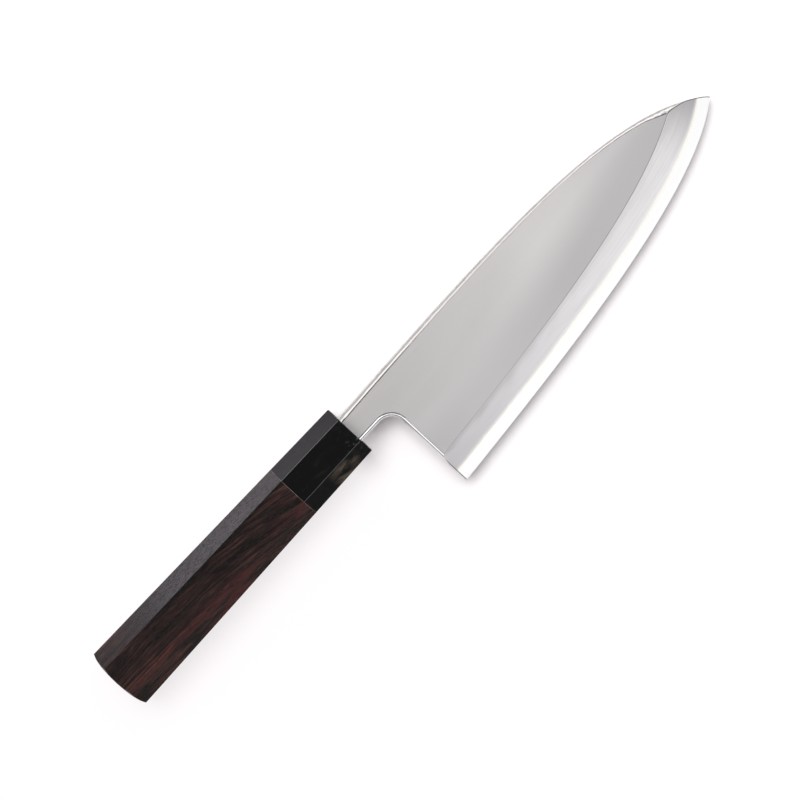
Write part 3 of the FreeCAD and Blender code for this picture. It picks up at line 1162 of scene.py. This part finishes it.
@dataclass
class Handle:
    """The octagonal handle: horn ferrule, wooden body and what holds the tang inside."""

    facet_turn: float = 45.0
    ridge_turn: float = 6.0
    ridge_slant: float = 0.1
    core: float = 9 * MM
    smooth_angle: float = 30.0
    horn: BlackHorn = BlackHorn("black_horn")
    # Painted highlight: grey horn along the rounded ridges between the facets.
    horn_ridge_highlight: BlackHorn = BlackHorn(
        "horn_ridge_highlight", black=(0.13, 0.13, 0.135, 1.0), brown=(0.16, 0.155, 0.14, 1.0)
    )
    wood: Rosewood = Rosewood("rosewood")
    glue: MottledFinish = MottledFinish(
        "glue_film", (0.03, 0.026, 0.024, 1.0), (0.20, 0.165, 0.145, 1.0),
        Pattern((300, 300, 300), detail=3.0), (0.3, 0.65), roughness=0.4, unevenness=0.2,
    )
    dowel_wood: MottledFinish = MottledFinish(
        "dowel_wood", (0.36, 0.24, 0.13, 1.0), (0.58, 0.43, 0.27, 1.0),
        Pattern((22, 700, 500), detail=4.0, rough=0.6, distortion=0.2), (0.3, 0.7),
        roughness=0.6, unevenness=0.2, depth=0.05 * MM,
    )
    resin_clouds: Pattern = Pattern((380, 380, 380), detail=4.0)
    bedding: MottledFinish = MottledFinish(
        "bedding", (0.20, 0.14, 0.07, 1.0), (0.38, 0.28, 0.15, 1.0),
        resin_clouds, (0.3, 0.7), roughness=0.33, unevenness=0.15, depth=0.02 * MM,
    )
    mouth_resin: MottledFinish = MottledFinish(
        "mouth_resin", (0.010, 0.010, 0.010, 1.0), (0.022, 0.020, 0.020, 1.0),
        resin_clouds, (0.3, 0.7), roughness=0.38, unevenness=0.15, depth=0.02 * MM,
    )

    def on_ridge(self, face: Face) -> bool:
        """Tell whether a face belongs to a rounded ridge between two long facets.

        Args:
            face: The face.

        Returns:
            Whether it does.
        """
        turn = math.degrees(math.atan2(face.normal.z, face.normal.y)) % self.facet_turn
        outside = face.center.yz.length > self.core and abs(face.normal.x) < self.ridge_slant
        return outside and self.ridge_turn < turn < self.facet_turn - self.ridge_turn

    def build(self) -> None:
        """Refine the ferrule and the body, then dress the other pieces of the handle."""
        ferrule = Piece("ferrule", "horn_ferrule", "black_horn")
        obj = ferrule.copy()
        ferrule.smooth(obj, self.smooth_angle, no_edge)
        # The ridges wear the painted highlight.
        ferrule.wear(obj, [Zone(self.horn_ridge_highlight, self.on_ridge), Zone(self.horn, everywhere)])
        ferrule.settle(obj)

        body = Piece("handle_body", "rosewood_body", "dark_rosewood")
        obj = body.copy()
        body.smooth(obj, self.smooth_angle, no_edge)
        body.wear(obj, [Zone(self.wood, everywhere)])
        body.settle(obj)

        self.dress("ferrule_glue_line", self.glue)
        self.dress("core_dowel", self.dowel_wood)
        self.dress("tang_bedding", self.bedding)
        self.dress("mouth_seal", self.mouth_resin)

    def dress(self, node: str, finish: Finish) -> None:
        """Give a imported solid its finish.

        Args:
            node: The solid's name.
            finish: What it wears.
        """
        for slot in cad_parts[node].material_slots:
            slot.material = finish.material()
        LOG.info("%s: wears %s", node, finish.name)


@dataclass(frozen=True)
class Card:
    """A lit white card.

    It has the place of its middle, what it faces, its width and height, how bright it looks with 1 as
    white, its turn in degrees about the way it faces, and its tint.
    """

    name: str
    place: Triple
    target: Triple
    size: Pair
    level: float
    turn: float = 0.0
    tint: Triple = (1.0, 1.0, 1.0)

    def hang(self) -> bpy.types.Object:
        """Hang the card up.

        Returns:
            The card.
        """
        width, height = self.size
        lamp = bpy.data.lights.new(self.name, "AREA")
        lamp.shape = "RECTANGLE"
        lamp.size = width
        lamp.size_y = height
        lamp.energy = self.level * math.pi * width * height
        lamp.color = self.tint
        card = bpy.data.objects.new(self.name, lamp)
        bpy.context.collection.objects.link(card)
        card.location = self.place
        card.rotation_mode = "QUATERNION"
        facing = (Vector(self.target) - Vector(self.place)).to_track_quat("-Z", "Y")
        card.rotation_quaternion = facing @ Quaternion((0, 0, 1), math.radians(self.turn))
        return card


@dataclass
class Studio:
    """The white table, the tent of soft light round it and the camera above."""

    table: WhiteTable = WhiteTable("table_top")
    table_point: Triple = (0.0, 0.0, -10.45 * MM)
    table_normal: Triple = (-0.01407, 0.0, 0.9999)
    table_size: float = 4.0
    shade: Colour = grey(0.15)
    low: Colour = (0.50, 0.485, 0.492, 1.0)
    middle: Colour = (0.68, 0.665, 0.672, 1.0)
    bright: Colour = (1.40, 1.355, 1.37, 1.0)
    middle_rise: Pair = (0.1, 0.25)
    bright_rise: Pair = (0.55, 0.80)
    shade_end: Pair = (-0.3, 0.3)
    overhead: Colour = grey(0.03)
    overhead_reach: Pair = (20.0, 8.0)
    fill_level: float = 0.45
    fill_spread: float = 40.0
    fill_lean: float = -20.0
    fill_height: float = 1.0
    edge_card: Card = Card("edge_card", (0.25, -0.485, 0.72), (0.10, -0.03, 0.0), (0.62, 1.0), 1.05, -51)
    notch_card: Card = Card("notch_card", (-0.42, -0.42, 0.60), (0.01, -0.02, 0.0), (1.1, 0.5), 0.9)
    handle_box: Card = Card(
        "handle_box", (-0.062, 0.44, 0.05), (-0.062, 0.0, 0.0), (0.174, 0.22), 7.5, tint=(1.0, 0.93, 1.04)
    )
    view_centre: Pair = (22.1 * MM, -6.45 * MM)
    view_turn: float = -47.2
    view_width: float = 316.8 * MM
    camera_height: float = 1.1
    sensor_width: float = 36.0

    def build(self) -> None:
        """Lay the table, hang the lights and set the camera."""
        self.lay_table()
        self.pitch_tent()
        self.hang_fill()
        for card in (self.edge_card, self.notch_card):
            card.hang().visible_diffuse = False
        self.light_only(self.handle_box.hang(), ("horn_ferrule", "rosewood_body"))
        self.set_camera()
        bpy.context.scene.view_settings.view_transform = "Standard"

    def lay_table(self) -> None:
        """Lay a white table top along the handle's lower facet."""
        bpy.ops.object.select_all(action="DESELECT")
        bpy.ops.mesh.primitive_plane_add(size=self.table_size)
        top = bpy.context.active_object
        top.name = "table_top"
        top.rotation_mode = "QUATERNION"
        top.rotation_quaternion = Vector((0, 0, 1)).rotation_difference(Vector(self.table_normal))
        top.location = self.table_point
        top.data.materials.append(self.table.material())

    def pitch_tent(self) -> None:
        """Light the knife evenly, more from the spine's side, with a dark patch where the camera hangs."""
        world = bpy.data.worlds.new("tent")
        bpy.context.scene.world = world
        world.use_nodes = True
        graph = Graph(world.node_tree)
        way = graph.add("ShaderNodeTexCoord", {}).outputs["Generated"]
        height = graph.axis(way, "Z")
        lit = graph.mix(graph.span(height, *self.middle_rise), self.low, self.middle)
        lit = graph.mix(graph.span(height, *self.bright_rise), lit, self.bright)
        level = graph.mix(graph.span(graph.axis(way, "Y"), *self.shade_end), self.shade, lit)
        outer, inner = (math.cos(math.radians(angle)) for angle in self.overhead_reach)
        level = graph.mix(graph.span(height, outer, inner), level, self.overhead)
        light = graph.add("ShaderNodeBackground", {"Color": level, "Strength": 1.0})
        graph.add("ShaderNodeOutputWorld", {"Surface": light.outputs[0]})

    def hang_fill(self) -> None:
        """Hang a soft light high on the spine's side that only brightens matt surfaces."""
        lamp = bpy.data.lights.new("fill_light", "SUN")
        lamp.energy = self.fill_level * math.pi
        lamp.angle = math.radians(self.fill_spread)
        fill = bpy.data.objects.new("fill_light", lamp)
        bpy.context.collection.objects.link(fill)
        fill.location = (0, 0, self.fill_height)
        fill.rotation_euler = (math.radians(self.fill_lean), 0, 0)
        fill.visible_glossy = False

    def light_only(self, card: bpy.types.Object, names: Sequence[str]) -> None:
        """Let a card light certain pieces and nothing else.

        Args:
            card: The card.
            names: The names of the pieces.
        """
        lit = bpy.data.collections.new("lit_by_" + card.name)
        for name in names:
            lit.objects.link(bpy.data.objects[name])
        card.light_linking.receiver_collection = lit

    def set_camera(self) -> None:
        """Hang a long lens straight above, turned so that the knife lies across the picture."""
        lens = bpy.data.cameras.new("overhead_camera")
        camera = bpy.data.objects.new("overhead_camera", lens)
        bpy.context.collection.objects.link(camera)
        camera.location = (*self.view_centre, self.camera_height)
        camera.rotation_euler = (0, 0, math.radians(self.view_turn))
        lens.sensor_width = self.sensor_width
        lens.lens = self.sensor_width * self.camera_height / self.view_width
        bpy.context.scene.camera = camera


def main() -> None:
    """Build the knife piece by piece, then the studio."""
    logging.basicConfig(level=logging.INFO, format="%(name)s: %(message)s")
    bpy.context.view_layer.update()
    Blade().build()
    Handle().build()
    Studio().build()


if __name__ == "__main__":
    main()
